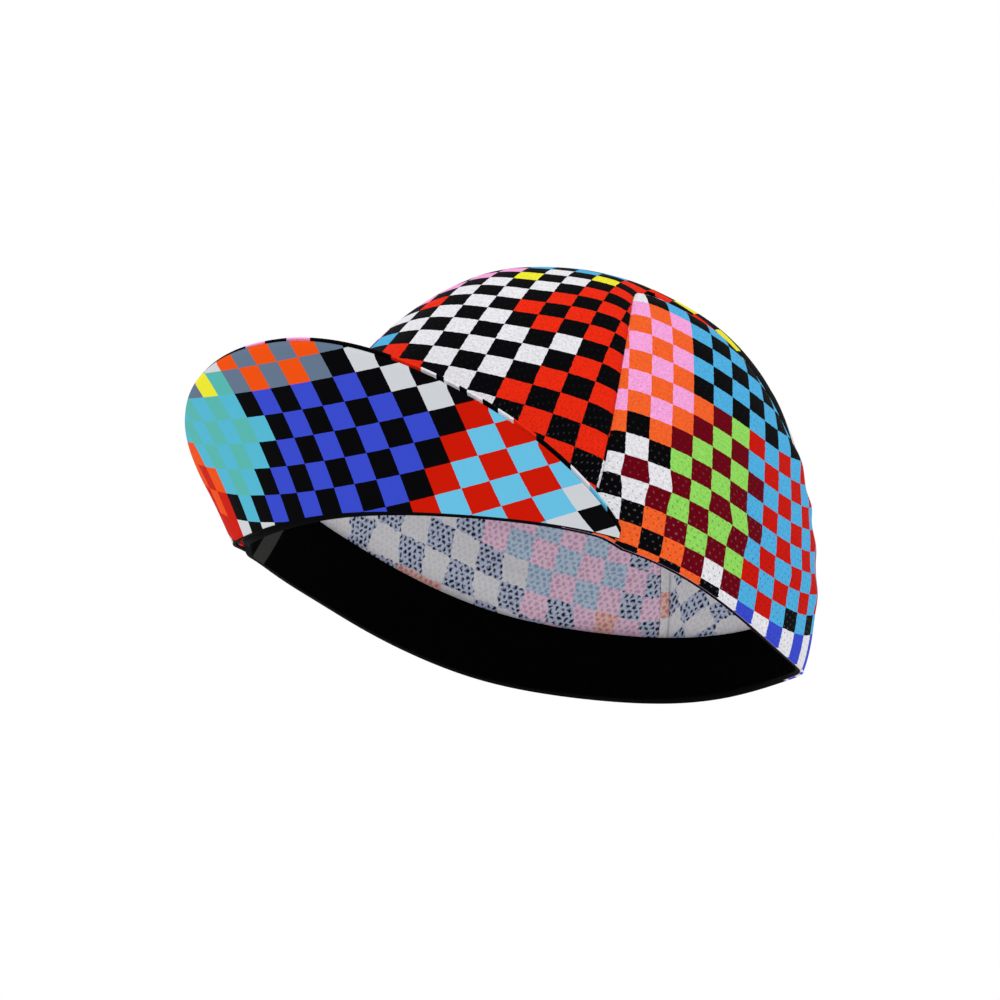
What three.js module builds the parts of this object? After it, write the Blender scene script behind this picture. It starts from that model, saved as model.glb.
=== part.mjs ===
// A cycling cap: three cloth panels, a band inside the rim and a turned up peak of two covers.
// Millimetres, +Z up, the peak towards -Y and the wearer's left towards +X.
// The origin is the middle of the head opening. Turns go round from the front, 90 degrees being +X.
import * as THREE from 'three';

const rad = THREE.MathUtils.degToRad;

// Head opening, over the outside of the cloth
const openingLength = 199.7;
const openingWidth = 161.7;
const widerBehind = 0.04;         // share of the half width
// How the rim rises and dips on the way round: each wave's part that is alike on both sides,
// and its part that lifts one side where it lowers the other
const rimWaves = [
  { waves: 1, alike: -0.9, opposite: 0 },
  { waves: 2, alike: -1.4, opposite: 0 },
  { waves: 3, alike: -3.1, opposite: 2.8 },
  { waves: 5, alike: 1.3, opposite: 0 },
];

// Crown
const crownHeight = 110;
const crownLean = 10.2;           // how far the top sits behind the middle of the opening
const leanHeight = 0.25;          // share of the height at which over half of the lean is reached
const wallSquareness = 0.659;     // 1 is a round wall, under 1 stands up straighter
const squarerBehind = 0.08;       // how much straighter the wall stands at the back
const topRoundness = 1.32;        // 1 is a round top, over 1 rises later
const crownWall = 1.2;
const clearance = 0.3;            // between sewn pieces

// Seams between the centre panel and the side panels
const frontSeamTurn = 54.5;       // where a seam meets the rim beside the peak
const seamBend = 0.05;            // how softly the seam turns over the top, share of the half width
// Half width of the centre panel behind that bend, as shares: it drifts to the wearer's left at the back
const backPanel = [
  { along: -0.5, left: 0.3, right: 0.34 },
  { along: 0, left: 0.46, right: 0.33 },
  { along: 0.35, left: 0.65, right: 0.29 },
  { along: 0.65, left: 0.66, right: 0.26 },
  { along: 1, left: 0.56, right: 0.24 },
];
const seamPull = 0.8;             // how deep the cloth is drawn in along a seam
const seamPullWidth = 5;
const tipHeight = 0.04;           // blunt end of a side panel, share of the crown height

// Sweatband, inside the rim
const bandHeight = 23;
const bandWall = 1.5;
const bandClearance = 0.45;       // to the crown, which it lines

// The cloth stands out where it passes over the top edge of the band, in slow waves
const ridgeRise = 0.9;
const ridgeTall = 5;
const ridgeAbove = 3;             // above the band
const ridgeWaves = 9;
// Gathers beside the back seams: turn, height and spread are shares of half a turn and of the crown
const gathers = [
  { turn: 0.66, height: 0.6, wide: 0.05, tall: 0.05, rise: 1.3 },
  { turn: 0.7, height: 0.49, wide: 0.04, tall: 0.03, rise: 0.9 },
  { turn: 0.72, height: 0.38, wide: 0.05, tall: 0.035, rise: 0.7 },
];

// Peak, turned up in front of the crown
const peakLength = 52;
const peakSkew = -0.078;          // how much longer it is to the wearer's left, as a share
const peakEndTurn = 62;           // where its ends meet the rim
const peakFullness = 2;           // how wide the full length is kept
const peakTaper = 0.767;          // how bluntly the ends run out
const peakTiltMiddle = 56.8;      // above level
const peakTiltEnds = 35.2;
const peakTwist = -9;             // how much steeper its left end stands than its middle
const peakSpread = 0.59;          // 0 points straight ahead all along, 1 fans out square to the rim
const peakLift = 1.85;            // its base edge sits this far above the rim
const coverWall = 1.1;
const peakEndShare = 0.985;       // the covers stop in blunt ends here, as a share of the half peak

// Facets
const seamSteps = 36;
const centrePanelSteps = 16;
const sidePanelSteps = 11;
const bandTurnSteps = 72;
const bandSteps = 3;
const peakTurnSteps = 34;
const peakSteps = 6;

const halfLength = openingLength / 2;
const halfWidth = openingWidth / 2;
const peakStack = 2 * coverWall + clearance;

// Outside of the cloth at the rim
function rimPoint(turn) {
  const side = Math.sin(turn) * (1 - widerBehind * Math.cos(turn));
  const rise = rimWaves.reduce((sum, { waves, alike, opposite }) => (
    sum + alike * Math.cos(waves * turn) + opposite * Math.sin(waves * turn)
  ), 0);
  return new THREE.Vector3(halfWidth * side, -halfLength * Math.cos(turn), rise);
}

// Power that shapes the wall at a turn
function wallPower(turn) {
  return wallSquareness + squarerBehind * Math.cos(turn);
}

// Smooth crown, from climb 0 at the rim to a quarter turn at the top
function crownPoint(turn, climb) {
  const reach = Math.cos(climb) ** wallPower(turn);
  const height = Math.sin(climb) ** topRoundness;
  const point = rimPoint(turn);
  point.x *= reach;
  point.y = point.y * reach + crownLean * height * (1 + leanHeight) / (height + leanHeight);
  point.z = point.z * (1 - height) + crownHeight * height;
  return point;
}

function crownNormal(turn, climb) {
  const step = rad(1.5);
  const middle = THREE.MathUtils.clamp(climb, step, rad(88));
  const round = crownPoint(turn + step, middle).sub(crownPoint(turn - step, middle));
  const up = crownPoint(turn, middle + step).sub(crownPoint(turn, middle - step));
  return round.cross(up).normalize();
}

function climbToHeight(height) {
  return Math.asin((height / crownHeight) ** (1 / topRoundness));
}

function heightAt(climb) {
  return crownHeight * Math.sin(climb) ** topRoundness;
}

// Plan position on the crown as shares: across +-1, along -1 at the front to 1 at the back
function planToCrown(across, along) {
  const reach = Math.min(Math.hypot(across, along), 1);
  const turn = Math.atan2(across, -along);
  return { turn, climb: Math.acos(reach ** (1 / wallPower(turn))) };
}

function crownToPlan(turn, climb) {
  const reach = Math.cos(climb) ** wallPower(turn);
  return { across: reach * Math.sin(turn), along: -reach * Math.cos(turn) };
}

// Half width of the centre panel in plan, as a share: a straight run in front, joined by a soft bend
// to the run over the top and down the back. A hand of 1 is the wearer's left, -1 the right.
const backRuns = {
  [1]: backRun(backPanel.map((row) => row.left)),
  [-1]: backRun(backPanel.map((row) => row.right)),
};

function backRun(halfWidths) {
  return new THREE.CubicInterpolant(backPanel.map((row) => row.along), halfWidths, 1);
}

function seamAcross(along, hand) {
  const front = -along * Math.tan(rad(frontSeamTurn));
  const back = backRuns[hand].evaluate(along)[0];
  return (front + back + Math.hypot(front - back, 2 * seamBend)) / 2;
}

// The same line, moved sideways on the cloth by shift
function shiftedAcross(along, hand, shift) {
  const step = 0.01;
  const slope = (seamAcross(along + step, hand) - seamAcross(along - step, hand)) / (2 * step);
  const sideways = shift * Math.hypot(1, slope * halfWidth / halfLength);
  return seamAcross(along, hand) + sideways / halfWidth;
}

// Where that line meets the rim
function seamEnd(inside, outside, hand, shift) {
  let near = inside;
  let far = outside;
  for (let i = 0; i < 40; i += 1) {
    const middle = (near + far) / 2;
    if (Math.hypot(shiftedAcross(middle, hand, shift), middle) < 1) near = middle;
    else far = middle;
  }
  return (near + far) / 2;
}

function seam(hand, shift) {
  const front = seamEnd(-0.2, -1, hand, shift);
  const back = seamEnd(0.2, 1, hand, shift);
  return (share) => {
    const along = front + (back - front) * (1 - Math.cos(Math.PI * share)) / 2;
    return { across: hand * shiftedAcross(along, hand, shift), along };
  };
}

// How far the cloth stands out of the smooth crown
function clothRelief(turn, climb) {
  const height = heightAt(climb);
  const halfTurn = Math.abs(Math.atan2(Math.sin(turn), Math.cos(turn))) / Math.PI;
  const bell = (offset, spread) => Math.exp(-((offset / spread) ** 2));
  const wave = 0.6 + 0.4 * Math.cos(ridgeWaves * turn);
  let relief = ridgeRise * wave * bell(height - bandHeight - ridgeAbove, ridgeTall);
  for (const gather of gathers) {
    relief += gather.rise * bell(halfTurn - gather.turn, gather.wide)
      * bell(height / crownHeight - gather.height, gather.tall);
  }
  const plan = crownToPlan(turn, climb);
  const fromSeam = (Math.abs(plan.across) - seamAcross(plan.along, plan.across < 0 ? -1 : 1)) * halfWidth;
  const clearOfBand = THREE.MathUtils.smoothstep(height, bandHeight + ridgeTall, 2 * bandHeight);
  return relief - seamPull * clearOfBand * bell(fromSeam, seamPullWidth);
}

// Point at a depth under the outside of the smooth crown
function underCrown(turn, climb, depth) {
  return crownPoint(turn, climb).addScaledVector(crownNormal(turn, climb), -depth);
}

function clothPoint({ turn, climb }, depth) {
  return underCrown(turn, climb, depth - clothRelief(turn, climb));
}

// Closed wall between two faces given over a grid of steps, open or joined up round
function wallGeometry(face, rows, columns, joined = false) {
  const positions = [];
  const index = [];
  const wide = joined ? columns : columns + 1;
  for (const side of [0, 1]) {
    for (let row = 0; row <= rows; row += 1) {
      for (let column = 0; column < wide; column += 1) {
        positions.push(...face(row / rows, column / columns, side).toArray());
      }
    }
  }
  const layer = (rows + 1) * wide;
  const at = (side, row, column) => side * layer + row * wide + (column % wide);
  const quad = (a, b, c, d) => index.push(a, b, c, a, c, d);
  for (let row = 0; row < rows; row += 1) {
    for (let column = 0; column < columns; column += 1) {
      quad(at(0, row, column), at(0, row, column + 1), at(0, row + 1, column + 1), at(0, row + 1, column));
      quad(at(1, row, column), at(1, row + 1, column), at(1, row + 1, column + 1), at(1, row, column + 1));
    }
  }
  for (let column = 0; column < columns; column += 1) {
    quad(at(1, 0, column), at(1, 0, column + 1), at(0, 0, column + 1), at(0, 0, column));
    quad(at(0, rows, column), at(0, rows, column + 1), at(1, rows, column + 1), at(1, rows, column));
  }
  for (let row = 0; row < rows && !joined; row += 1) {
    quad(at(0, row, 0), at(0, row + 1, 0), at(1, row + 1, 0), at(1, row, 0));
    quad(at(1, row, columns), at(1, row + 1, columns), at(0, row + 1, columns), at(0, row, columns));
  }
  const geometry = new THREE.BufferGeometry();
  geometry.setAttribute('position', new THREE.Float32BufferAttribute(positions, 3));
  geometry.setIndex(index);
  geometry.computeVertexNormals();
  return geometry;
}

// Arc in plan from the right seam to the left one, which at the rim is the rim itself
function centrePanelPlan(right, left, row, column) {
  const chord = Math.hypot(left.across - right.across, left.along - right.along);
  const middle = { across: (left.across + right.across) / 2, along: (left.along + right.along) / 2 };
  const bulgeAtRim = 1 - Math.hypot(middle.across, middle.along);
  const bulge = -Math.cos(Math.PI * row) * Math.max(bulgeAtRim, 0.001);
  const half = 2 * Math.atan(2 * bulge / chord);
  const radius = chord / (2 * Math.sin(half));
  const swing = half * (2 * column - 1);
  const alongChord = radius * Math.sin(swing);
  const offChord = radius * (Math.cos(swing) - Math.cos(half));
  const ux = (left.across - right.across) / chord;
  const uy = (left.along - right.along) / chord;
  return {
    across: middle.across + ux * alongChord - uy * offChord,
    along: middle.along + uy * alongChord + ux * offChord,
  };
}

// Share of the seam at which it has climbed clear of the rim by the tip's height
function tipShareOf(edgeAt) {
  let low = 0;
  let high = 0.5;
  for (let i = 0; i < 40; i += 1) {
    const middle = (low + high) / 2;
    const plan = edgeAt(middle);
    if (planToCrown(plan.across, plan.along).climb < climbToHeight(tipHeight * crownHeight)) low = middle;
    else high = middle;
  }
  return (low + high) / 2;
}

// Shares of the seam at which both of its panels have a row, so that their edges run side by side
const tipShare = Math.max(tipShareOf(seam(1, 0)), tipShareOf(seam(-1, 0)));
const seamShares = Array.from({ length: seamSteps + 1 }, (_, i) => (
  tipShare + (1 - 2 * tipShare) * (i / seamSteps)
));

function centrePanel() {
  const leftAt = seam(1, -clearance / 2);
  const rightAt = seam(-1, -clearance / 2);
  const shares = [0, ...seamShares, 1];
  const rows = shares.length - 1;
  const face = (row, column, side) => {
    const share = shares[Math.round(row * rows)];
    const plan = centrePanelPlan(rightAt(share), leftAt(share), share, column);
    return clothPoint(planToCrown(plan.across, plan.along), side * crownWall);
  };
  return wallGeometry(face, rows, centrePanelSteps);
}

// A side panel runs from the rim up to the seam, and its ends are blunt tips at the seam's two ends
function sidePanel(hand) {
  const edgeAt = seam(hand, clearance / 2);
  const start = planToCrown(edgeAt(0).across, edgeAt(0).along).turn;
  const end = planToCrown(edgeAt(1).across, edgeAt(1).along).turn;
  const face = (row, column, side) => {
    const top = edgeAt(seamShares[Math.round(row * seamSteps)]);
    const edge = planToCrown(top.across, top.along);
    const foot = start + (end - start) * row;
    const turn = foot + (edge.turn - foot) * column;
    return clothPoint({ turn, climb: edge.climb * column }, side * crownWall);
  };
  const mirrored = (row, column, side) => face(row, 1 - column, side);
  return wallGeometry(hand > 0 ? mirrored : face, seamSteps, sidePanelSteps);
}

function sweatband() {
  const top = climbToHeight(bandHeight);
  const outside = crownWall + bandClearance;
  const face = (row, column, side) => (
    underCrown(column * 2 * Math.PI, row * top, outside + side * bandWall)
  );
  return wallGeometry(face, bandSteps, bandTurnSteps, true);
}

// Lie of the turned up peak at a share from -1 to 1 of the way between its ends
function peakLie(share) {
  const turn = share * rad(peakEndTurn);
  const tilt = rad(peakTiltMiddle + (peakTiltEnds - peakTiltMiddle) * share ** 2 + peakTwist * share);
  const square = new THREE.Vector3(halfLength * Math.sin(turn), -halfWidth * Math.cos(turn), 0).normalize();
  const ahead = new THREE.Vector3(0, peakSpread - 1, 0).addScaledVector(square, peakSpread).normalize();
  const upright = new THREE.Vector3(0, 0, 1);
  const outward = ahead.clone().multiplyScalar(Math.cos(tilt)).addScaledVector(upright, Math.sin(tilt));
  const inward = ahead.clone().multiplyScalar(-Math.sin(tilt)).addScaledVector(upright, Math.cos(tilt));
  const base = crownPoint(turn, climbToHeight(peakLift))
    .addScaledVector(square, peakStack * Math.sin(tilt) + clearance);
  const taper = Math.max(1 - Math.abs(share) ** peakFullness, 0) ** peakTaper;
  const length = peakLength * (1 + peakSkew * share) * taper;
  return { base, length, outward, inward };
}

// A cover of the peak at a depth behind its showing face, which looks away from the crown
function peakCover(depth) {
  const face = (row, column, side) => {
    const { base, length, outward, inward } = peakLie((2 * column - 1) * peakEndShare);
    return base.addScaledVector(outward, length * row).addScaledVector(inward, depth + side * coverWall);
  };
  return wallGeometry(face, peakSteps, peakTurnSteps);
}

function piece(name, geometry, color, roughness) {
  const mesh = new THREE.Mesh(geometry, new THREE.MeshStandardMaterial({ color, roughness, metalness: 0 }));
  mesh.name = name;
  return mesh;
}

const cap = new THREE.Group();
cap.add(
  piece('crown_centre_panel', centrePanel(), '#6f2a2a', 0.9),
  piece('crown_left_panel', sidePanel(1), '#b8503c', 0.9),
  piece('crown_right_panel', sidePanel(-1), '#c07aa8', 0.9),
  piece('sweatband', sweatband(), '#08080a', 0.95),
  piece('peak_under_cover', peakCover(0), '#3a4cd0', 0.8),
  piece('peak_top_cover', peakCover(coverWall + clearance), '#d8d8dc', 0.8),
);

export default cap;
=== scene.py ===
# A cycling cap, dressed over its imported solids: knitted panels in printed checks, a black band
# inside the rim and a turned up peak of fine twill.
import bpy
import bmesh
import math
import numpy as np
from mathutils import Matrix, Vector


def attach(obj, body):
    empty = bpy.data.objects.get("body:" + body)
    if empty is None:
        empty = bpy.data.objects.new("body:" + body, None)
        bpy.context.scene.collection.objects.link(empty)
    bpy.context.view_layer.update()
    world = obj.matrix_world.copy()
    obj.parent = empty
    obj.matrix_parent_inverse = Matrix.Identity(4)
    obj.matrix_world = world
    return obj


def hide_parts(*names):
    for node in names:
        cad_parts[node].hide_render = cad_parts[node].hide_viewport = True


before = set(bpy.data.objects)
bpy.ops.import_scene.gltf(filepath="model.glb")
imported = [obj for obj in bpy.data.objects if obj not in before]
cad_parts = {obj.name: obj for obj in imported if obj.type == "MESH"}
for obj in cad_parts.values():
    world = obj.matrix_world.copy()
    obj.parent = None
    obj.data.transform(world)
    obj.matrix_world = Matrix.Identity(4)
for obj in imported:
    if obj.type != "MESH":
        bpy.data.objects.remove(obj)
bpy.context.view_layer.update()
mm = 0.001


# Colours

def toLinear(hexColour):
    channels = [int(hexColour[i:i + 2], 16) / 255 for i in (1, 3, 5)]
    return [c / 12.92 if c <= 0.04045 else ((c + 0.055) / 1.055) ** 2.4 for c in channels] + [1]


inks = {
    "black": "#040406",
    "white": "#e9e9ee",
    "red": "#ee2a10",
    "scarlet": "#cb1508",
    "maroon": "#6a0012",
    "orange": "#f8642a",
    "pink": "#f9a6de",
    "lightBlue": "#50b2e4",
    "royal": "#3a4cd0",
    "lime": "#93dc60",
    "yellow": "#f2ec34",
    "peakRed": "#d01803",
    "peakOrange": "#f4530f",
    "sky": "#6ac6ea",
    "slate": "#66788f",
    "teal": "#5abab2",
    "aqua": "#57bbd6",
    # the next is the white ink on the peak, painted greyer than the white above: painted shade, for the shade
    # the peak lies in
    "peakWhiteInShade": "#d4d8dc",
}


# The crown's form, that of the solids, but with a rim that the cloth pulls up and down a little

crownForm = {
    "halfLength": 99.85 * mm,
    "halfWidth": 80.85 * mm,
    "widerBehind": 0.04,
    # waves round the rim: how many, their rise in mm that is alike on both sides, and the lopsided one
    "rimWaves": [(1, -0.9, 0), (2, -1.4, 0), (3, -3.1, 2.8), (5, 1.3, 0)],
    "rimDips": [(-75, 15, -2.0), (-113, 18, 1.6)],  # turn and spread in degrees, rise in mm
    "footRaise": 3.5 * mm,       # how far the rim is turned up behind the peak
    "footFull": (math.radians(57), math.radians(44)),   # all of it up to here, on the left and right
    "footGone": (math.radians(68), math.radians(58)),   # and none from here on
    "sideRaise": 1.8 * mm,       # and how far on the wearer's left
    "sideTurn": math.radians(80),
    "sideSpread": math.radians(48),
    "height": 110 * mm,
    "lean": 10.2 * mm,           # how far the top sits behind the middle
    "leanHeight": 0.25,          # less makes the wall lean lower down
    "wallPower": 0.659,          # less makes the wall more upright
    "powerAhead": 0.08,          # how much less upright it is in front
    "topPower": 1.32,            # more makes the top rounder
    "wall": 1.2 * mm,
    "seamGap": 0.08 * mm,
}


def bell(offset, spread):
    return np.exp(-(offset / spread) ** 2)


def smoothRise(value, low, high):
    t = np.clip((value - low) / (high - low), 0, 1)
    return t * t * (3 - 2 * t)


def rimAt(turn):
    form = crownForm
    x = form["halfWidth"] * np.sin(turn) * (1 - form["widerBehind"] * np.cos(turn))
    y = -form["halfLength"] * np.cos(turn)
    z = sum(alike * np.cos(n * turn) + lopsided * np.sin(n * turn)
            for n, alike, lopsided in form["rimWaves"])
    z = (z + sum(rise * bell(np.degrees(turn) - at, spread) + rise * bell(np.degrees(turn) - at - 360, spread)
                 for at, spread, rise in form["rimDips"])) * mm
    return np.stack([x, y, z], -1)


def wallPowerAt(turn):
    return crownForm["wallPower"] + crownForm["powerAhead"] * np.cos(turn)


def crownAt(turn, climb):
    form = crownForm
    reach = np.cos(climb) ** wallPowerAt(turn)
    height = np.sin(climb) ** form["topPower"]
    rim = rimAt(turn)
    lean = form["lean"] * height * (1 + form["leanHeight"]) / (height + form["leanHeight"])
    return np.stack([
        rim[..., 0] * reach,
        rim[..., 1] * reach + lean,
        rim[..., 2] * (1 - height) + form["height"] * height,
    ], -1)


mmPerTurn = 90   # cloth along the rim for each radian


def unit(vectors):
    return vectors / np.linalg.norm(vectors, axis=-1, keepdims=True)


def crownNormalAt(turn, climb):
    step = math.radians(1.5)
    almostTop = math.radians(88)
    middle = np.clip(climb, step, almostTop)
    around = crownAt(turn + step, middle) - crownAt(turn - step, middle)
    up = crownAt(turn, middle + step) - crownAt(turn, middle - step)
    return unit(np.cross(around, up))


def climbTo(height):
    return np.arcsin((height / crownForm["height"]) ** (1 / crownForm["topPower"]))


def footAt(turn):
    form = crownForm
    turn = np.arctan2(np.sin(turn), np.cos(turn))
    full, gone = (np.where(turn < 0, form[key][1], form[key][0]) for key in ("footFull", "footGone"))
    ahead = form["footRaise"] * smoothRise(-np.abs(turn), -gone, -full)
    side = form["sideRaise"] * bell(turn - form["sideTurn"], form["sideSpread"])
    return climbTo(np.maximum(ahead, side))


def fromFoot(turn, climb):
    return climb + footAt(turn) * np.clip(1 - 2 * climb, 0, 1) ** 2


def heightOf(climb):
    return crownForm["height"] * np.sin(climb) ** crownForm["topPower"]


# Plan shares: across is 1 at the wearer's left rim, along is -1 at the front rim and 1 at the back

def planToCrown(across, along):
    turn = np.arctan2(across, -along)
    reach = np.clip(np.hypot(across, along), 0, 1)
    return turn, np.arccos(reach ** (1 / wallPowerAt(turn)))


def crownToPlan(turn, climb):
    reach = np.cos(climb) ** wallPowerAt(turn)
    return reach * np.sin(turn), -reach * np.cos(turn)


# The seams: a straight run in front, a soft bend, and a run over the top and down the back

seams = {
    "frontTurn": math.radians(54.5),
    "bend": 0.035,
    "frontSwing": 0.065,         # how far the front seams swing out near their tips
    "along": [-0.5, 0, 0.35, 0.65, 1],
    "left": [0.32, 0.51, 0.65, 0.65, 0.56],
    "right": [0.34, 0.33, 0.29, 0.26, 0.24],
    "tip": 0.012,                # share of a seam where a side panel starts
}


def smoothThrough(places, values, at):
    places, values = np.array(places), np.array(values)
    secants = np.diff(values) / np.diff(places)
    slopes = np.concatenate([secants[:1], (secants[:-1] + secants[1:]) / 2, secants[-1:]])
    at = np.clip(at, places[0], places[-1])
    i = np.clip(np.searchsorted(places, at) - 1, 0, len(places) - 2)
    wide = places[i + 1] - places[i]
    t = (at - places[i]) / wide
    rise = values[i] * (2 * t ** 3 - 3 * t ** 2 + 1) + values[i + 1] * (3 * t ** 2 - 2 * t ** 3)
    return rise + wide * (slopes[i] * (t ** 3 - 2 * t ** 2 + t) + slopes[i + 1] * (t ** 3 - t ** 2))


def seamAcross(along, hand):
    front = -along * math.tan(seams["frontTurn"]) + seams["frontSwing"] * smoothRise(along, -0.55, -0.2)
    left = smoothThrough(seams["along"], seams["left"], along)
    right = smoothThrough(seams["along"], seams["right"], along)
    back = np.where(np.asarray(hand) > 0, left, right)
    return (front + back + np.hypot(front - back, 2 * seams["bend"])) / 2


def shiftedAcross(along, hand, shift):
    step = 0.01
    slope = (seamAcross(along + step, hand) - seamAcross(along - step, hand)) / (2 * step)
    form = crownForm
    sideways = shift * np.hypot(1, slope * form["halfWidth"] / form["halfLength"])
    return seamAcross(along, hand) + sideways / form["halfWidth"]


def seamEnd(inside, outside, hand, shift):
    for _ in range(40):
        middle = (inside + outside) / 2
        if math.hypot(shiftedAcross(middle, hand, shift), middle) < 1:
            inside = middle
        else:
            outside = middle
    return (inside + outside) / 2


def seamLine(hand, shift):
    front = seamEnd(-0.2, -1, hand, shift)
    back = seamEnd(0.2, 1, hand, shift)

    def lineAt(share):
        along = front + (back - front) * (1 - np.cos(math.pi * share)) / 2
        return hand * shiftedAcross(along, hand, shift), along
    return lineAt


# How the cloth stands out of the smooth crown: a ridge over the band, gathers beside the back
# seams, slow dents, and a dip along each seam

drape = {
    "bandHeight": 23 * mm,
    "ridgeRise": 0.9 * mm,
    "ridgeTall": 5 * mm,
    "ridgeAbove": 3 * mm,
    "ridgeWaves": 9,
    "seamPull": 0.8 * mm,
    "seamPullWidth": 5 * mm,
    "stitchDip": 0.5 * mm,
    "stitchDipWidth": 1.1 * mm,
    "dentDepth": 0.35 * mm,
    "foldShift": 0.16,           # how far the print is pushed sideways in the fold, in cells
    "foldTall": 4 * mm,
    "foldApart": 0.32,           # from one push to the next, in 100 mm
}
gathers = [  # turn, height and spread as shares of half a turn and of the crown, rise in mm
    {"turn": 0.66, "height": 0.60, "wide": 0.05, "tall": 0.05, "rise": 1.3},
    {"turn": 0.70, "height": 0.49, "wide": 0.04, "tall": 0.03, "rise": 0.9},
    {"turn": 0.72, "height": 0.38, "wide": 0.05, "tall": 0.035, "rise": 0.7},
]


def reliefAt(turn, climb):
    height = heightOf(climb)
    halfTurn = np.abs(np.arctan2(np.sin(turn), np.cos(turn))) / math.pi
    wave = 0.6 + 0.4 * np.cos(drape["ridgeWaves"] * turn)
    ridge = bell(height - drape["bandHeight"] - drape["ridgeAbove"], drape["ridgeTall"])
    relief = drape["ridgeRise"] * wave * ridge
    for gather in gathers:
        relief = relief + gather["rise"] * mm * bell(halfTurn - gather["turn"], gather["wide"]) \
            * bell(height / crownForm["height"] - gather["height"], gather["tall"])
    across, along = crownToPlan(turn, climb)
    hand = np.where(across < 0, -1, 1)
    fromSeam = (np.abs(across) - seamAcross(along, hand)) * crownForm["halfWidth"]
    clear = smoothRise(height, drape["bandHeight"] + drape["ridgeTall"], 2 * drape["bandHeight"])
    dents = np.sin(5 * turn + 0.4) * np.sin(3 * climb + turn) + np.sin(8 * turn - 2) * np.sin(5 * climb)
    relief = relief + drape["dentDepth"] * dents * np.sin(2 * climb)
    relief = relief - drape["seamPull"] * clear * bell(fromSeam, drape["seamPullWidth"])
    return relief - drape["stitchDip"] * bell(fromSeam, drape["stitchDipWidth"])


def clothAt(turn, climb, depth):
    lift = (reliefAt(turn, climb) - depth)[..., None]
    return crownAt(turn, climb) + crownNormalAt(turn, climb) * lift


# Lengths along the cloth, which the print and the knit follow

def lengthAlong(points):
    return np.linalg.norm(np.diff(points, axis=0), axis=-1).sum(0)


def frontLengths(across, along):
    steps = np.linspace(0, 1, 25)[:, None]
    middle = lengthAlong(crownAt(*planToCrown(0 * across + 0 * steps, -1 + (along + 1) * steps)))
    side = lengthAlong(crownAt(*planToCrown(across * steps, along + 0 * steps))) * np.sign(across)
    return np.stack([side, middle], -1) / mm


def sideLengths(turn, climb, hand):
    steps = np.linspace(0, 1, 25)[:, None]
    quarter = hand * math.pi / 2
    around = lengthAlong(crownAt(quarter + (turn - quarter) * steps, climb + 0 * steps))
    around = around * np.where(hand * (turn - quarter) < 0, -1, 1)
    up = lengthAlong(crownAt(turn + 0 * steps, climb * steps))
    return around / mm, up / mm


# How the printed checks lie on the cloth, in cells for each 100 mm: where they start, how they
# run along and up the cloth, and how the stretched cloth bends and twists them

leftPrint = {
    "start": (2.1, 7.75),
    "along": (11.1, 1.35),
    "up": (2.15, -14.6),
    "bendAlong": (-1.8, 1.4),
    "twist": (0.7, -1.0),
    "bendUp": (-3.8, 1.85),
    "bendLimit": 0.6,
}
rightPrint = {
    "start": (-1.33, 3.3),
    "along": (7.0, 1.95),
    "up": (3.85, -9.75),
    "bendAlong": (2.8, -1.5),
    "twist": (0.95, -2.45),
    "bendUp": (-1.95, 0.05),
    "bendLimit": 1.1,
}
frontPrint = {
    "start": (3.75, 2.3),
    "across": (6.05, -8.4),
    "back": (6.95, -8.75),
    "up": (-4.1, -12.2),
    "bend": (0.6, 12.7),
    "twist": (5.55, 8.35),
    "bendFrom": -0.25,           # in 100 mm across, past which the bend runs on straight
}
peakPrint = {
    "start": (-9.1, 8.35),
    "across": (15.0, 0.55),
    "back": (-0.5, 7.55),
    "up": (2.6, -9.35),
    "twist": (-8.75, 1.8),
    "bend": (5.4, -2.9),
}


def sideChecks(turn, climb, hand):
    lie = leftPrint if hand > 0 else rightPrint
    around, up = (length / 100 for length in sideLengths(turn, climb, hand))
    bent = np.clip(around, -lie["bendLimit"], lie["bendLimit"])
    checks = np.stack([
        lie["start"][i] + lie["along"][i] * around + lie["up"][i] * up
        + lie["bendAlong"][i] * bent ** 2 + lie["twist"][i] * bent * up
        + lie["bendUp"][i] * up ** 2 for i in (0, 1)], -1)
    fold = bell(up * 100 * mm - drape["bandHeight"] - drape["ridgeAbove"], drape["foldTall"])
    checks[:, 0] += drape["foldShift"] * fold * np.sin(around * 2 * math.pi / drape["foldApart"])
    return checks


def frontChecks(turn, climb):
    across, along = crownToPlan(turn, climb)
    x, y, z = (crownAt(turn, climb) / (100 * mm)).T
    topTurn, topClimb = planToCrown(across, 0 * along)
    top = crownAt(topTurn, topClimb)[..., 2] / (100 * mm)
    over = np.where(along > 0, 2 * top - z, z)   # height gone on past the top
    least = frontPrint["bendFrom"]
    squared = np.where(x < least, 2 * least * x - least ** 2, x ** 2)
    return np.stack([
        frontPrint["start"][i] + frontPrint["across"][i] * x + frontPrint["back"][i] * y
        + frontPrint["up"][i] * over + frontPrint["bend"][i] * squared
        + frontPrint["twist"][i] * x * z for i in (0, 1)], -1)


def peakChecks(points):
    x, y, z = (points / (100 * mm)).T
    return np.stack([
        peakPrint["start"][i] + peakPrint["across"][i] * x + peakPrint["back"][i] * y
        + peakPrint["up"][i] * z + peakPrint["twist"][i] * x * z
        + peakPrint["bend"][i] * z ** 2 for i in (0, 1)], -1)


darkInk = 0.06   # inks less bright than this count as dark

# Charts of the print, read one by one: first and last cell each way, then the two inks that take
# turns there. A later row prints over an earlier one.

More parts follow.
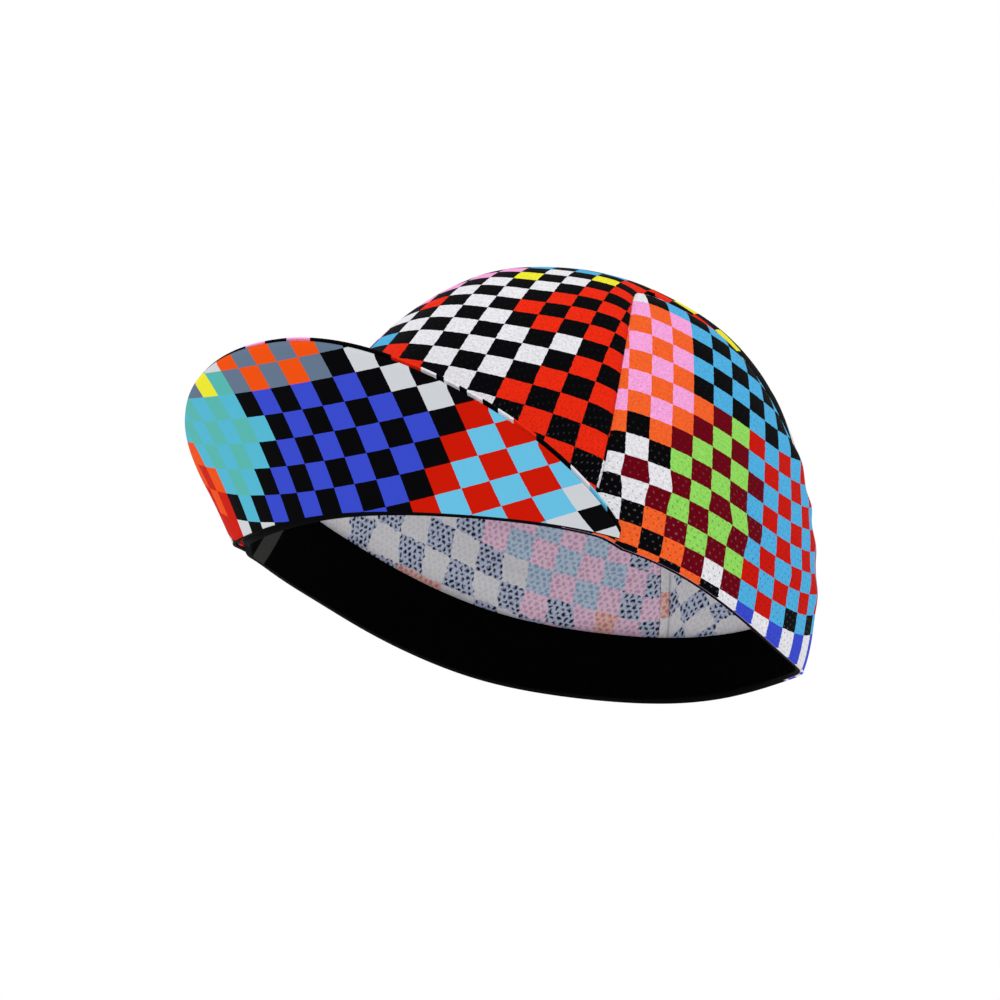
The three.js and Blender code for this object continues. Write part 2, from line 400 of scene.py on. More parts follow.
leftChart = [
    (-99, 99, -99, 99, "lightBlue", "scarlet"),
    (-1, 99, -99, -2, "lightBlue", "black"),
    (1, 99, -99, -6, "yellow", "black"),
    (-2, 0, -99, -7, "red", "black"),
    (-9, -2, -5, 0, "orange", "pink"),
    (-9, -3, -9, -6, "white", "black"),
    (-1, -1, -1, -1, "orange", "orange"),
    (-9, -3, 1, 1, "orange", "black"),
    (-1, 1, 0, 0, "lime", "maroon"),
    (0, 1, -1, -1, "lime", "maroon"),
    (-2, 1, 1, 6, "lime", "maroon"),
    (2, 2, 1, 4, "lightBlue", "maroon"),
    (-9, -3, 2, 5, "white", "black"),
    (-4, -4, 3, 3, "maroon", "maroon"),
    (-3, -3, 4, 4, "maroon", "maroon"),
    (-3, -3, 5, 5, "orange", "black"),
    (-9, -2, 6, 6, "orange", "black"),
    (0, 0, 6, 6, "white", "white"),
    (5, 7, 6, 6, "lightBlue", "black"),
    (-9, 0, 7, 9, "orange", "black"),
    (1, 99, 7, 7, "white", "royal"),
    (1, 99, 8, 9, "royal", "white"),
    (-300, -100, -300, -100, "black", "black"),   # the unprinted part of the hem
]
rightChart = [
    (-99, 99, -99, 99, "white", "black"),
    (4, 99, -99, -2, "pink", "lightBlue"),
    (6, 99, -1, -1, "pink", "lightBlue"),
    (10, 99, -99, -1, "pink", "black"),
    (6, 99, 0, 1, "pink", "black"),
    (9, 9, 0, 0, "orange", "orange"),
    (1, 2, 1, 1, "orange", "orange"),
]
frontChart = [
    (-99, 99, -99, 99, "white", "black"),
    (2, 9, -6, -6, "red", "black"),
    (1, 9, -5, -5, "red", "black"),
    (0, 9, -4, -4, "red", "black"),
    (-1, 9, -3, -3, "red", "black"),
    (0, 9, -2, -2, "red", "black"),
    (3, 9, -1, -1, "red", "black"),
    (2, 9, 0, 0, "red", "black"),
    (1, 9, 1, 1, "red", "black"),
    (0, 9, 2, 5, "red", "black"),
    (4, 9, 4, 9, "white", "black"),
    (-2, -2, -6, -6, "yellow", "yellow"),
    (1, 1, -7, -7, "yellow", "yellow"),
    (-3, -3, -7, -7, "pink", "pink"),
    (-4, -4, -6, -6, "pink", "pink"),
    (-9, -5, -9, -5, "pink", "black"),
    (-9, -6, -4, -4, "pink", "black"),
    (-9, -7, -3, -1, "pink", "black"),
    (-9, 1, -12, -8, "lightBlue", "black"),
    (2, 99, -9, -7, "red", "black"),
    (2, 99, -10, -10, "yellow", "black"),
    (2, 99, -12, -11, "black", "black"),
    (-9, -6, 0, 0, "lightBlue", "black"),
    (-5, -5, -3, -3, "red", "red"),
    (-5, -4, 1, 2, "red", "black"),
]
edgeChart = [  # along the wrapped edge of the peak, a hundred cells from end to end
    (-99, 199, -99, 99, "black", "black"),
    (0, 14, -99, 99, "peakRed", "peakRed"),
    (43, 46, -99, 99, "pink", "pink"),
    (51, 54, -99, 99, "pink", "pink"),
    (67, 70, -99, 99, "red", "red"),
    (71, 72, -99, 99, "white", "white"),
    (74, 75, -99, 99, "white", "white"),
    (77, 78, -99, 99, "white", "white"),
    (81, 82, -99, 99, "white", "white"),
    (83, 85, -99, 99, "red", "red"),
    (91, 93, -99, 99, "white", "white"),
    (94, 96, -99, 99, "sky", "sky"),
]
seamChart = [
    (-99, 99, -99, 99, "orange", "white"),
]
peakChart = [
    (-99, 99, -99, 99, "black", "royal"),
    (-5, 9, 2, 9, "sky", "peakRed"),
    (-4, 9, 1, 1, "sky", "peakRed"),
    (-3, 9, 0, 0, "sky", "peakRed"),
    (-2, 9, -1, -1, "sky", "peakRed"),
    (-1, 9, -2, -2, "sky", "peakRed"),
    (0, 9, -9, -3, "sky", "peakRed"),
    (1, 9, 2, 9, "black", "peakWhiteInShade"),
    (0, 9, 3, 9, "black", "peakWhiteInShade"),
    (-3, -1, -3, -3, "black", "peakWhiteInShade"),
    (-4, -1, -4, -4, "black", "peakWhiteInShade"),
    (-5, -1, -9, -5, "black", "peakWhiteInShade"),
    (-10, -6, -5, -5, "peakOrange", "slate"),
    (-10, -5, -9, -6, "peakOrange", "slate"),
    (-99, -11, -9, -4, "teal", "aqua"),
    (-99, -10, -3, -3, "teal", "aqua"),
    (-99, -11, -2, -2, "teal", "aqua"),
    (-99, -12, -1, -1, "teal", "aqua"),
    (-99, -12, 0, 0, "black", "aqua"),
    (-99, -9, 1, 9, "black", "peakWhiteInShade"),
    (-11, -11, -9, -6, "peakWhiteInShade", "peakWhiteInShade"),
    (-12, -12, -5, -5, "yellow", "yellow"),
    (-99, -13, -5, -5, "slate", "slate"),
    (-99, -16, -2, -2, "peakOrange", "peakOrange"),
    (-99, -15, -1, 0, "peakOrange", "peakRed"),
    (-99, -15, 1, 1, "peakRed", "peakRed"),
]


# Materials

def addNode(tree, kind, inputs=(), **settings):
    node = tree.nodes.new("ShaderNode" + kind)
    for name, value in settings.items():
        setattr(node, name, value)
    for socket, value in dict(inputs).items():
        if isinstance(value, bpy.types.NodeSocket):
            tree.links.new(value, node.inputs[socket])
        else:
            node.inputs[socket].default_value = value
    return node


def newMaterial(name):
    material = bpy.data.materials.new(name)
    material.use_nodes = True
    tree = material.node_tree
    shader = tree.nodes["Principled BSDF"]
    return material, tree, shader


def calculate(tree, operation, *values):
    return addNode(tree, "Math", dict(enumerate(values)), operation=operation).outputs[0]


def mixColours(tree, share, first, second):
    inputs = {0: share, 6: first, 7: second}
    return addNode(tree, "Mix", inputs, data_type="RGBA").outputs[2]


# One of a piece's two maps, wavering as the loops of the cloth do
def waveringMap(tree, mapName, waver, waverSize):
    point = addNode(tree, "TexCoord").outputs["Object"]
    noise = addNode(tree, "TexNoise", {"Vector": point, "Scale": 1 / waverSize, "Detail": 1.0})
    flat = addNode(tree, "UVMap", uv_map=mapName).outputs[0]
    shift = addNode(tree, "VectorMath", {0: noise.outputs["Color"], 1: (0.5, 0.5, 0.5)}, operation="SUBTRACT")
    small = addNode(tree, "VectorMath", {0: shift.outputs[0], "Scale": waver}, operation="SCALE")
    moved = addNode(tree, "VectorMath", {0: flat, 1: small.outputs[0]}, operation="ADD")
    return addNode(tree, "SeparateXYZ", {0: moved.outputs[0]}).outputs


# The ink under a point: the number of its cell each way, looked up in a chart row by row
def printColour(tree, chart, waver=0.06, waverSize=1.3 * mm):
    checks = waveringMap(tree, "print", waver, waverSize)
    across, down = (calculate(tree, "FLOOR", checks[i]) for i in (0, 1))
    odd = calculate(tree, "FLOORED_MODULO", calculate(tree, "ADD", across, down), 2.0)
    colour = None
    for firstAcross, lastAcross, firstDown, lastDown, evenInk, oddInk in chart:
        even, other = toLinear(inks[evenInk]), toLinear(inks[oddInk])
        pair = mixColours(tree, odd, even, other)
        if colour is None:
            colour = pair
            continue
        inAcross = calculate(tree, "COMPARE", across, (firstAcross + lastAcross) / 2,
                             (lastAcross - firstAcross) / 2 + 0.25)
        inDown = calculate(tree, "COMPARE", down, (firstDown + lastDown) / 2,
                           (lastDown - firstDown) / 2 + 0.25)
        colour = mixColours(tree, calculate(tree, "MULTIPLY", inAcross, inDown), colour, pair)
    return colour


# Birdseye mesh, in mm: small holes in staggered rows that the loops push about. They are drawn a
# little wider apart than they are, so that they still show from a metre away.
rightSide = {"holeApart": 2.8, "rowApart": 2.0, "hole": 0.6, "uneven": 0.5, "unevenSize": 1.6}
wrongSide = {"holeApart": 2.3, "rowApart": 1.75, "hole": 1.25, "uneven": 1.1, "unevenSize": 1.6}
knit = {
    "loop": 0.65,                # size of the loops that give the cloth its grain
    "patch": 11,                 # size of the patches where the holes show more or less
    "shownBelow": 22,            # the holes gape most below this height
    "closedAbove": 48,           # and hardly at all above this one
}


def holesOf(tree, side):
    cloth = waveringMap(tree, "cloth", side["uneven"] * 2, side["unevenSize"] * mm)
    rows = calculate(tree, "DIVIDE", cloth[1], side["rowApart"])
    stagger = calculate(tree, "MULTIPLY", calculate(tree, "FLOOR", rows), 0.5)
    columns = calculate(tree, "ADD", calculate(tree, "DIVIDE", cloth[0], side["holeApart"]), stagger)
    sideways = calculate(tree, "SUBTRACT", calculate(tree, "FRACT", columns), 0.5)
    upward = calculate(tree, "SUBTRACT", calculate(tree, "FRACT", rows), 0.5)
    sideways = calculate(tree, "MULTIPLY", sideways, side["holeApart"])
    upward = calculate(tree, "MULTIPLY", upward, side["rowApart"])
    away = calculate(tree, "SQRT", calculate(tree, "ADD", calculate(tree, "POWER", sideways, 2.0),
                                             calculate(tree, "POWER", upward, 2.0)))
    edge = {"Value": away, "From Min": 0.25 * side["hole"], "From Max": 0.75 * side["hole"],
            "To Min": 1.0, "To Max": 0.0}
    return addNode(tree, "MapRange", edge).outputs[0]


# Polyester birdseye knit, printed: matt, slightly furry, its holes showing as flecks, dark on the
# pale inks and pale on the dark ones
def knitOutside(name, chart):
    material, tree, shader = newMaterial(name)
    ink = printColour(tree, chart)
    holes = holesOf(tree, rightSide)
    point = addNode(tree, "TexCoord").outputs["Object"]
    patches = addNode(tree, "TexNoise", {"Vector": point, "Scale": 1 / (knit["patch"] * mm), "Detail": 2.0})
    above = addNode(tree, "SeparateXYZ", {0: point}).outputs[2]
    low = addNode(tree, "MapRange", {"Value": above, "From Min": knit["closedAbove"] * mm,
                                     "From Max": knit["shownBelow"] * mm,
                                     "To Min": 0.06, "To Max": 0.9}).outputs[0]
    patch = addNode(tree, "MapRange", {"Value": patches.outputs[0], "From Min": 0.38, "From Max": 0.62,
                                       "To Min": 0.5, "To Max": 1.0}).outputs[0]
    shown = calculate(tree, "MULTIPLY", patch, low)
    bright = addNode(tree, "RGBToBW", {0: ink}).outputs[0]
    pale = calculate(tree, "GREATER_THAN", bright, darkInk)
    darker = mixColours(tree, 0.62, ink, toLinear("#16161c"))
    lighter = mixColours(tree, 0.22, ink, toLinear("#b9b9c4"))
    fleck = mixColours(tree, pale, lighter, darker)
    loops = addNode(tree, "TexNoise", {"Vector": point, "Scale": 1 / (knit["loop"] * mm), "Detail": 2.0})
    grain = addNode(tree, "MapRange", {"Value": loops.outputs[0], "From Min": 0.3, "From Max": 0.7,
                                       "To Min": 0.78, "To Max": 1.1}).outputs[0]
    flecked = mixColours(tree, calculate(tree, "MULTIPLY", holes, shown), ink, fleck)
    grained = addNode(tree, "VectorMath", {0: flecked, "Scale": grain}, operation="SCALE").outputs[0]
    height = calculate(tree, "SUBTRACT", calculate(tree, "MULTIPLY", loops.outputs[0], 0.6), holes)
    bump = addNode(tree, "Bump", {"Height": height, "Strength": 0.45, "Distance": 0.25 * mm})
    tree.links.new(grained, shader.inputs["Base Color"])
    tree.links.new(bump.outputs[0], shader.inputs["Normal"])
    shader.inputs["Roughness"].default_value = 0.86
    shader.inputs["Specular IOR Level"].default_value = 0.03
    return material


# The knit's wrong side: white yarn with the print only ghosting through, and dark flecks where
# the ink outside is dark
def knitInside(name, chart):
    material, tree, shader = newMaterial(name)
    ink = printColour(tree, chart, waver=0.25, waverSize=2.5 * mm)
    holes = holesOf(tree, wrongSide)
    bright = addNode(tree, "RGBToBW", {0: ink}).outputs[0]
    dark = calculate(tree, "LESS_THAN", bright, darkInk)
    white = calculate(tree, "GREATER_THAN", bright, 0.7)
    tinted = mixColours(tree, 0.42, toLinear("#faf2ee"), ink)
    plain = mixColours(tree, white, tinted, toLinear("#ebeaea"))
    ghost = mixColours(tree, dark, plain, toLinear("#c8d1e6"))
    through = mixColours(tree, dark, mixColours(tree, 0.5, ink, toLinear("#2a2440")), toLinear("#0d1430"))
    some = addNode(tree, "MapRange", {"Value": dark, "To Min": 0.6, "To Max": 1.0}).outputs[0]
    faint = addNode(tree, "MapRange", {"Value": white, "To Min": 1.0, "To Max": 0.3}).outputs[0]
    shown = calculate(tree, "MULTIPLY", some, faint)
    colour = mixColours(tree, calculate(tree, "MULTIPLY", holes, shown), ghost, through)
    bump = addNode(tree, "Bump", {"Height": holes, "Strength": 0.5, "Distance": -0.25 * mm})
    tree.links.new(colour, shader.inputs["Base Color"])
    tree.links.new(bump.outputs[0], shader.inputs["Normal"])
    shader.inputs["Roughness"].default_value = 0.92
    shader.inputs["Specular IOR Level"].default_value = 0.1
    return material


# Polyester twill, printed: smooth and close, with fine lines at 45 degrees, drawn a little coarser
# than they are, and the black thread of the rim seam along its foot
twill = {"apart": 0.7, "seamBelow": 0.0}   # in mm


def twillMaterial(name, chart):
    material, tree, shader = newMaterial(name)
    ink = printColour(tree, chart, waver=0.025, waverSize=0.8 * mm)
    cloth = addNode(tree, "UVMap", uv_map="cloth").outputs[0]
    parts = addNode(tree, "SeparateXYZ", {0: cloth})
    slant = calculate(tree, "ADD", parts.outputs[0], parts.outputs[1])
    lines = calculate(tree, "SINE", calculate(tree, "MULTIPLY", slant, 2 * math.pi / twill["apart"]))
    shade = addNode(tree, "MapRange", {"Value": lines, "From Min": -1.0, "To Min": 0.9,
                                       "To Max": 1.04}).outputs[0]
    colour = addNode(tree, "VectorMath", {0: ink, "Scale": shade}, operation="SCALE").outputs[0]
    atBase = calculate(tree, "LESS_THAN", parts.outputs[1], twill["seamBelow"])
    colour = mixColours(tree, atBase, colour, toLinear(inks["black"]))
    bump = addNode(tree, "Bump", {"Height": lines, "Strength": 0.2, "Distance": 0.08 * mm})
    tree.links.new(colour, shader.inputs["Base Color"])
    tree.links.new(bump.outputs[0], shader.inputs["Normal"])
    shader.inputs["Roughness"].default_value = 0.78
    shader.inputs["Specular IOR Level"].default_value = 0.03
    return material


band = {
    "height": 23 * mm,
    "wall": 1.0 * mm,
    "clearance": 0.3 * mm,
    "turns": 240,
    "rows": 16,
    "highlightAt": math.radians(302) * mmPerTurn,   # where a grey patch is painted on as a painted highlight, for the band catching the light there, along the band in mm
    "highlightWide": 14,
}


# Elastic sweatband knit: deep black towelling yarn, only its ribs catching light, and a grey patch painted on
# as a painted highlight where the band catches the light
def bandMaterial():
    material, tree, shader = newMaterial("sweatband_knit")
    point = addNode(tree, "TexCoord").outputs["Object"]
    fuzz = addNode(tree, "TexNoise", {"Vector": point, "Scale": 1 / (0.9 * mm), "Detail": 3.0})
    colour = mixColours(tree, fuzz.outputs[0], toLinear("#010101"), toLinear("#060607"))
    cloth = addNode(tree, "UVMap", uv_map="cloth").outputs[0]
    across = addNode(tree, "SeparateXYZ", {0: cloth}).outputs[0]
    # a painted highlight: a grey stripe up the band where it catches the light
    paintedHighlight = calculate(tree, "COMPARE", across, band["highlightAt"], band["highlightWide"] / 2)
    colour = mixColours(tree, paintedHighlight, colour, toLinear("#3b3b38"))
    bump = addNode(tree, "Bump", {"Height": fuzz.outputs[0], "Strength": 0.5, "Distance": 0.3 * mm})
    tree.links.new(colour, shader.inputs["Base Color"])
    tree.links.new(bump.outputs[0], shader.inputs["Normal"])
    shader.inputs["Roughness"].default_value = 0.95
    shader.inputs["Specular IOR Level"].default_value = 0.01
    return material


leftOutside = knitOutside("left_birdseye_knit", leftChart)
leftInside = knitInside("left_birdseye_wrong_side", leftChart)
rightOutside = knitOutside("right_birdseye_knit", rightChart)
rightInside = knitInside("right_birdseye_wrong_side", rightChart)
seamInside = knitInside("seam_birdseye_wrong_side", seamChart)
frontOutside = knitOutside("centre_birdseye_knit", frontChart)
frontInside = knitInside("centre_birdseye_wrong_side", frontChart)
peakTwill = twillMaterial("peak_twill", peakChart)
edgeTwill = twillMaterial("peak_edge_twill", edgeChart)
bandKnit = bandMaterial()
print("materials made")


# A grid of faces laid on a formula that gives places and the two maps of its cloth

def gridPiece(name, rows, columns, layAt, materials, outward):
    work = bmesh.new()
    bmesh.ops.create_grid(work, x_segments=rows, y_segments=columns, size=1)
    shares = np.array([vert.co[:2] for vert in work.verts]) / 2 + 0.5
    places, checks, cloth = layAt(shares[:, 0], shares[:, 1])
    for vert, place in zip(work.verts, places):
        vert.co = place
    work.verts.index_update()
    for mapName, values in (("print", checks), ("cloth", cloth)):
        layer = work.loops.layers.uv.new(mapName)
        for face in work.faces:
            for loop in face.loops:
                loop[layer].uv = values[loop.vert.index]
    bmesh.ops.remove_doubles(work, verts=work.verts, dist=0.01 * mm)
    work.normal_update()
    facing = sum(face.normal.dot(Vector(outward(np.array(face.calc_center_median())))) for face in work.faces)
    if facing < 0:
        bmesh.ops.reverse_faces(work, faces=work.faces)
    for face in work.faces:
        face.smooth = True
    mesh = bpy.data.meshes.new(name)
    work.to_mesh(mesh)
    work.free()
    for material in materials:
        mesh.materials.append(material)
    piece = bpy.data.objects.new(name, mesh)
    bpy.context.scene.collection.objects.link(piece)
    return piece


def giveWall(piece, thickness, insideOffset=1, rimOffset=0):
    wall = piece.modifiers.new("wall", "SOLIDIFY")
    wall.thickness = thickness
    wall.offset = -1
    wall.material_offset = insideOffset
    wall.material_offset_rim = rimOffset


def awayFromMiddle(place):
    return place - np.array([0, 0.01, 0.03])


# Crown panels, and how many faces each has along its seams and across

panelSteps = {"seam": 190, "centre": 110, "side": 100}


# A row of the centre panel on the plan, an arc from seam to seam that follows the rim at both ends
def arcBetween(right, left, row, column):
    chord = np.hypot(left[0] - right[0], left[1] - right[1])
    middle = [(left[i] + right[i]) / 2 for i in (0, 1)]
    bulge = -np.cos(math.pi * row) * np.maximum(1 - np.hypot(*middle), 0.001)
    half = 2 * np.arctan(2 * bulge / chord)
    half = np.where(np.abs(half) < 1e-4, 1e-4, half)
    radius = chord / (2 * np.sin(half))
    swing = half * (2 * column - 1)
    alongChord, offChord = radius * np.sin(swing), radius * (np.cos(swing) - np.cos(half))
    ux, uy = (left[0] - right[0]) / chord, (left[1] - right[1]) / chord
    return middle[0] + ux * alongChord - uy * offChord, middle[1] + uy * alongChord + ux * offChord


def makeCentrePanel():
    gap = crownForm["seamGap"] / 2
    leftAt, rightAt = seamLine(1, -gap), seamLine(-1, -gap)

    def layAt(row, column):
        across, along = arcBetween(rightAt(row), leftAt(row), row, column)
        turn, climb = planToCrown(across, along)
        climb = fromFoot(turn, climb)
        return clothAt(turn, climb, 0 * turn), frontChecks(turn, climb), frontLengths(across, along)
    piece = gridPiece("crown_centre_cloth", panelSteps["seam"], panelSteps["centre"], layAt,
                      [frontOutside, frontInside], awayFromMiddle)
    giveWall(piece, crownForm["wall"])
    return piece


def makeSidePanel(hand, name, materials):
    edgeAt = seamLine(hand, crownForm["seamGap"] / 2)
    tip = seams["tip"]
    start, end = (np.arctan2(edge[0], -edge[1]) for edge in (edgeAt(0.0), edgeAt(1.0)))

    def layAt(row, column):
        edgeTurn, edgeClimb = planToCrown(*edgeAt(tip + (1 - 2 * tip) * row))
        foot = start + (end - start) * row
        turn, climb = foot + (edgeTurn - foot) * column, edgeClimb * column
        climb = fromFoot(turn, climb)
        lengths = np.stack(sideLengths(turn, climb, hand), -1)
        return clothAt(turn, climb, 0 * turn), sideChecks(turn, climb, hand), lengths
    piece = gridPiece(name, panelSteps["seam"], panelSteps["side"], layAt, materials, awayFromMiddle)
    giveWall(piece, crownForm["wall"])
    return piece


# Sweatband, and the hem rolled under the rim

def makeBand():
    top = climbTo(band["height"])
    outside = crownForm["wall"] + band["clearance"]

    def layAt(row, column):
        turn = 2 * math.pi * row
        climb = footAt(turn) + (top - footAt(turn)) * column
        places = crownAt(turn, climb) - crownNormalAt(turn, climb) * outside
        flat = np.stack([turn * mmPerTurn, column * band["height"] / mm], -1)
        return places, flat, flat
    piece = gridPiece("sweatband_cloth", band["turns"], band["rows"], layAt, [bandKnit], awayFromMiddle)
    giveWall(piece, band["wall"], insideOffset=0)
    return piece


hem = {
    "outside": 0.1 * mm,
    "inside": 2.5 * mm,
    "drop": 0.25 * mm,
    "dropBehind": 0.6 * mm,      # and how much more at the back
    "behind": math.radians(172),
    "behindSpread": math.radians(18),
    "wall": 0.3 * mm,
    "steps": 12,
    "printedFrom": math.radians(50),   # where the print shows on its outer part
    "printedTo": math.radians(150),
    "printedShare": 0.5,
}


def makeHem():
    def layAt(row, column):
        turn, swing = 2 * math.pi * row, math.pi * column
        middle = (hem["inside"] - hem["outside"]) / 2
        depth = middle - (hem["inside"] + hem["outside"]) / 2 * np.cos(swing)
        smooth = crownAt(turn, footAt(turn))
        places = smooth - crownNormalAt(turn, footAt(turn)) * depth[:, None]
        drop = hem["drop"] + hem["dropBehind"] * bell(turn - hem["behind"], hem["behindSpread"])
        places[:, 2] -= drop * np.sin(swing)
        printed = (turn > hem["printedFrom"]) & (turn < hem["printedTo"]) & (column < hem["printedShare"])
        checks = np.where(printed[:, None], sideChecks(turn, 0 * turn, 1), -200)
        return places, checks, 0 * checks
    piece = gridPiece("rim_hem", band["turns"], hem["steps"], layAt, [leftOutside],
                      lambda place: np.array([0, 0, -1]))
    giveWall(piece, hem["wall"], insideOffset=0)
    return piece


# Seam allowances of the back seams, inside the crown and turned towards its centre panel

allowance = {"from": 0.52, "to": 0.985, "wide": 2.8 * mm, "rows": 150, "columns": 4, "thick": 0.5 * mm}


def makeAllowance(hand, name):
    lines = [seamLine(hand, -allowance["wide"] * (i + 0.1) / allowance["columns"])
             for i in range(allowance["columns"] + 1)]

    def layAt(row, column):
        share = allowance["from"] + (allowance["to"] - allowance["from"]) * row
        nearest = np.rint(column * allowance["columns"]).astype(int)
        across, along = (np.choose(nearest, [line(share)[i] for line in lines]) for i in (0, 1))
        turn, climb = planToCrown(across, along)
        climb = fromFoot(turn, climb)
        cloth = np.stack([column * allowance["wide"] / mm, row * 150], -1)
        depth = crownForm["wall"] + allowance["thick"] * (1 + 0.6 * np.sin(math.pi * column))
        return clothAt(turn, climb, depth), cloth / 8, cloth
    piece = gridPiece(name, allowance["rows"], allowance["columns"], layAt, [seamInside],
                      lambda place: -awayFromMiddle(place))
    giveWall(piece, allowance["thick"], insideOffset=0)
    return piece


# Peak

peak = {
    "length": 52 * mm,
    "skew": -0.078,
    "endTurn": math.radians(62),
    "fullness": (2, 2.45),       # towards the wearer's left and right end
    "taper": (0.767, 0.85),
    "tiltMiddle": 56.8,
    "tiltEnds": 35.2,
    "twist": -9,
    "spread": 0.59,
    "endPull": (math.radians(0.8), math.radians(1.2)),
    "lift": 1.85 * mm,
    "endLift": 1.5 * mm,         # more at the wearer's left end
    "cover": 1.1 * mm,
    "gap": 0.3 * mm,
    "clearance": 0.3 * mm,
    "endShare": 0.992,
    "wrap": 0.55 * mm,           # how far the top cover is wrapped round the edge
    "tuck": 0.4 * mm,            # how far the covers reach down into the rim seam
    "underShort": 0.9,           # in wraps, how far short of the edge the under cover ends
    "underBend": (2.5, 1.6),     # in wraps, where it starts to bend in, and over how much
    "underWall": 0.9,            # share of a cover's thickness
    "topWall": 0.8,
    "topFlat": 0.8,              # share of the top cover's rows that aren't rolled
    "rollRadius": 0.85,          # in wraps
    "rollShort": 0.6,            # in radii, how far short of the edge the roll has its middle
    "rollTurn": math.radians(200),
    "turnSteps": 200,
    "rows": 44,
}


def peakLie(share):
    pull = np.where(share < 0, -peak["endPull"][1], peak["endPull"][0])
    turn = share * peak["endTurn"] - pull * smoothRise(np.abs(share), 0.7, 1)
    tilt = np.radians(peak["tiltMiddle"] + (peak["tiltEnds"] - peak["tiltMiddle"]) * share ** 2
                      + peak["twist"] * share)[..., None]
    form = crownForm
    square = unit(np.stack([form["halfLength"] * np.sin(turn), -form["halfWidth"] * np.cos(turn),
                            0 * turn], -1))
    ahead = unit(peak["spread"] * square + np.array([0, peak["spread"] - 1, 0]))
    upright = np.array([0, 0, 1])
    outward = ahead * np.cos(tilt) + upright * np.sin(tilt)
    inward = upright * np.cos(tilt) - ahead * np.sin(tilt)
    stack = 2 * peak["cover"] + peak["gap"]
    climb = climbTo(peak["lift"] + peak["endLift"] * np.clip(share, 0, 1) ** 3)
    base = crownAt(turn, climb) + square * (stack * np.sin(tilt) + peak["clearance"])
    fullness, power = (np.where(share < 0, peak[key][1], peak[key][0]) for key in ("fullness", "taper"))
    taper = np.maximum(1 - np.abs(share) ** fullness, 0) ** power
    length = peak["length"] * (1 + peak["skew"] * share) * taper
    return base, length, outward, inward, turn


def peakShare(row):
    return np.sin(math.pi * (row - 0.5)) * peak["endShare"]


def wrapAt(length):
    return np.minimum(peak["wrap"], length / 4)


def makeUnderCover():
    def layAt(row, column):
        base, length, outward, inward, turn = peakLie(peakShare(row))
        wrap = wrapAt(length)
        start, over = peak["underBend"]
        out = column * (length - wrap * peak["underShort"] + peak["tuck"]) - peak["tuck"]
        edge = np.clip((out - length + start * wrap) / (over * wrap + 1e-9), 0, 1)
        depth = 0.5 * peak["cover"] * edge ** 2
        places = base + outward * out[:, None] + inward * depth[:, None]
        cloth = np.stack([turn * mmPerTurn, out / mm], -1)
        return places, peakChecks(places), cloth
    piece = gridPiece("peak_under_cloth", peak["turnSteps"], peak["rows"], layAt, [peakTwill],
                      lambda place: np.array([0, -0.6, -0.8]))
    giveWall(piece, peak["cover"] * peak["underWall"], insideOffset=0)
    return piece


def makeTopCover():
    def layAt(row, column):
        base, length, outward, inward, turn = peakLie(peakShare(row))
        radius = wrapAt(length) * peak["rollRadius"]
        back = 2 * peak["cover"] + peak["gap"]
        centre = back - radius
        swing = np.clip((column - peak["topFlat"]) / (1 - peak["topFlat"]), 0, 1) * peak["rollTurn"]
        flat = np.minimum(column / peak["topFlat"], 1)
        reach = length - radius * peak["rollShort"] + peak["tuck"]
        out = flat * reach - peak["tuck"] + radius * np.sin(swing)
        depth = centre + radius * np.cos(swing)
        places = base + outward * out[:, None] + inward * depth[:, None]
        clearOfSeam = 4   # in mm, so that the seam's black thread stays off this cover
        cloth = np.stack([turn * mmPerTurn, (out + swing * radius) / mm + clearOfSeam], -1)
        return places, np.stack([50 * (peakShare(row) + 1), 0.5 + 0 * row], -1), cloth
    piece = gridPiece("peak_top_cloth", peak["turnSteps"], peak["rows"], layAt, [edgeTwill],
                      lambda place: np.array([0, 0.6, 0.8]))
    giveWall(piece, peak["cover"] * peak["topWall"], insideOffset=0)
    return piece


def dress(piece, node=None):
    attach(piece, "root")
    if node:
        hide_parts(node)


dress(makeCentrePanel(), "crown_centre_panel")
dress(makeSidePanel(1, "crown_left_cloth", [leftOutside, leftInside]), "crown_left_panel")
dress(makeSidePanel(-1, "crown_right_cloth", [rightOutside, rightInside]), "crown_right_panel")
dress(makeAllowance(1, "left_seam_allowance"))
dress(makeAllowance(-1, "right_seam_allowance"))
print("crown panels made")
dress(makeBand(), "sweatband")
dress(makeHem())
dress(makeUnderCover(), "peak_under_cover")
dress(makeTopCover(), "peak_top_cover")
print("band and peak made")


# Floor, light and camera

studio = {
    "floorDrop": 0.6,
    "floorSize": 8,
    "sky": "#ffffff",
    "skyStrength": 1.0,
    "keyPlace": (-0.4, -1.3, 1.1),
    "keySize": 1.2,
    "keyPower": 3,
}


def makeFloor():
    work = bmesh.new()
    bmesh.ops.create_grid(work, x_segments=1, y_segments=1, size=studio["floorSize"] / 2)
    bmesh.ops.translate(work, verts=work.verts, vec=(0, 0, -studio["floorDrop"]))
    mesh = bpy.data.meshes.new("floor")
    work.to_mesh(mesh)
    work.free()
    material, tree, shader = newMaterial("pale_floor")
    shader.inputs["Base Color"].default_value = toLinear("#f4f4f5")
    shader.inputs["Roughness"].default_value = 0.9
    mesh.materials.append(material)
    floor = bpy.data.objects.new("floor", mesh)
    bpy.context.scene.collection.objects.link(floor)


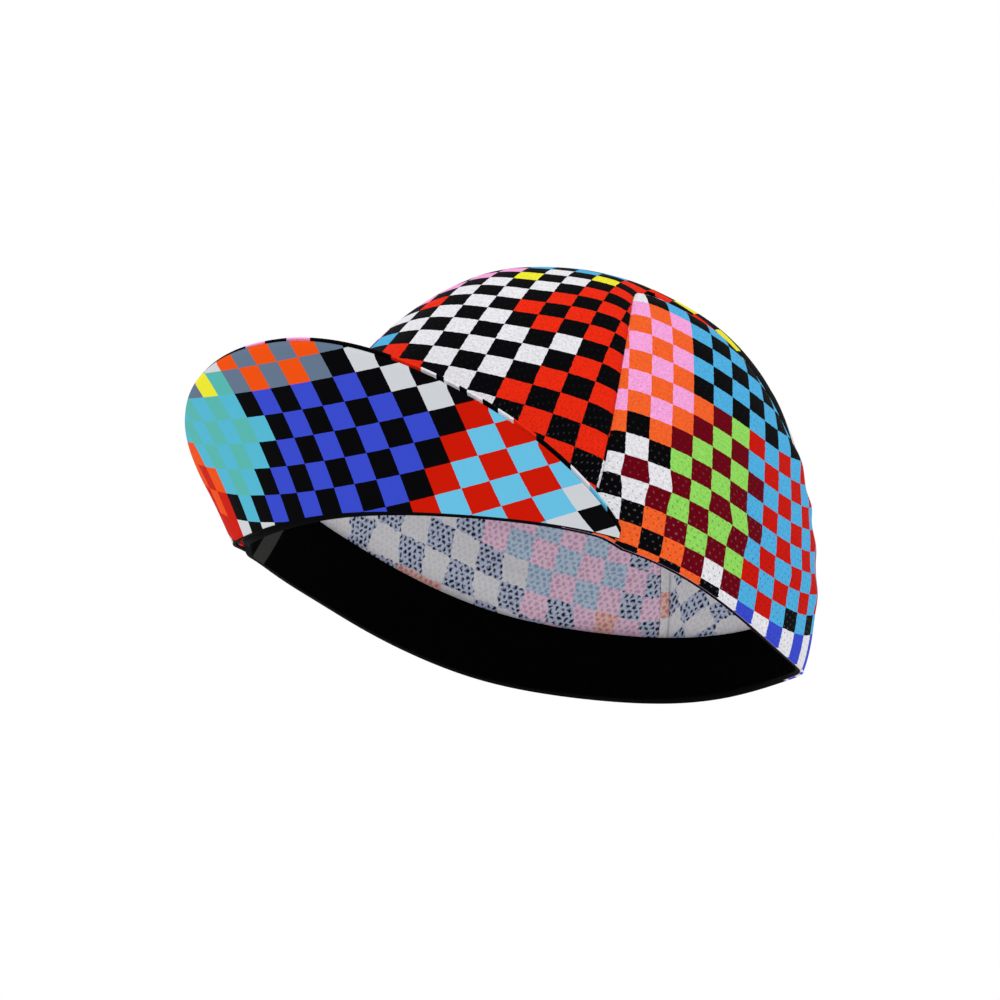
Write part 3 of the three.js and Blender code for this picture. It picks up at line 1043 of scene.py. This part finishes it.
def makeKeyLight():
    light = bpy.data.lights.new("key", "AREA")
    light.size = studio["keySize"]
    light.energy = studio["keyPower"]
    lamp = bpy.data.objects.new("key", light)
    lamp.location = studio["keyPlace"]
    towardsCap = Vector((0, 0, 0.04)) - Vector(studio["keyPlace"])
    lamp.rotation_euler = towardsCap.to_track_quat("-Z", "Y").to_euler()
    bpy.context.scene.collection.objects.link(lamp)


camera = {
    "azimuth": math.radians(39.27),
    "elevation": math.radians(-13.98),
    "roll": math.radians(10.34),
    "distance": 1110.6 * mm,
    "focal": 3594.2,             # in pixels of the 1000 pixel frame
    "origin": (519.9, 614.5),    # where the middle of the head opening falls in it
    "frame": 1000,
    "sensor": 36,
}


def makeCamera():
    azimuth, elevation, roll = camera["azimuth"], camera["elevation"], camera["roll"]
    toCamera = Vector((math.sin(azimuth) * math.cos(elevation), -math.cos(azimuth) * math.cos(elevation),
                       math.sin(elevation)))
    level = Vector((math.cos(azimuth), math.sin(azimuth), 0))
    upright = toCamera.cross(level)
    right = level * math.cos(roll) + upright * math.sin(roll)
    up = upright * math.cos(roll) - level * math.sin(roll)
    middle = camera["frame"] / 2
    offX, offY = ((at - middle) / camera["focal"] for at in camera["origin"])
    forward = (-toCamera - right * offX + up * offY).normalized()
    right = (right - forward * right.dot(forward)).normalized()
    up = right.cross(forward)
    lens = bpy.data.cameras.new("camera")
    lens.sensor_width = camera["sensor"]
    lens.lens = camera["focal"] * camera["sensor"] / camera["frame"]
    eye = bpy.data.objects.new("camera", lens)
    turned = Matrix((right, up, -forward)).transposed().to_4x4()
    turned.translation = toCamera * camera["distance"]
    eye.matrix_world = turned
    bpy.context.scene.collection.objects.link(eye)
    bpy.context.scene.camera = eye


def makeWorld():
    world = bpy.data.worlds.new("studio")
    world.use_nodes = True
    background = world.node_tree.nodes["Background"]
    background.inputs[0].default_value = toLinear(studio["sky"])
    background.inputs[1].default_value = studio["skyStrength"]
    bpy.context.scene.world = world
    bpy.context.scene.view_settings.view_transform = "Standard"   # keeps the inks as bright as they are


makeFloor()
makeWorld()
makeKeyLight()
makeCamera()
print("stage made")
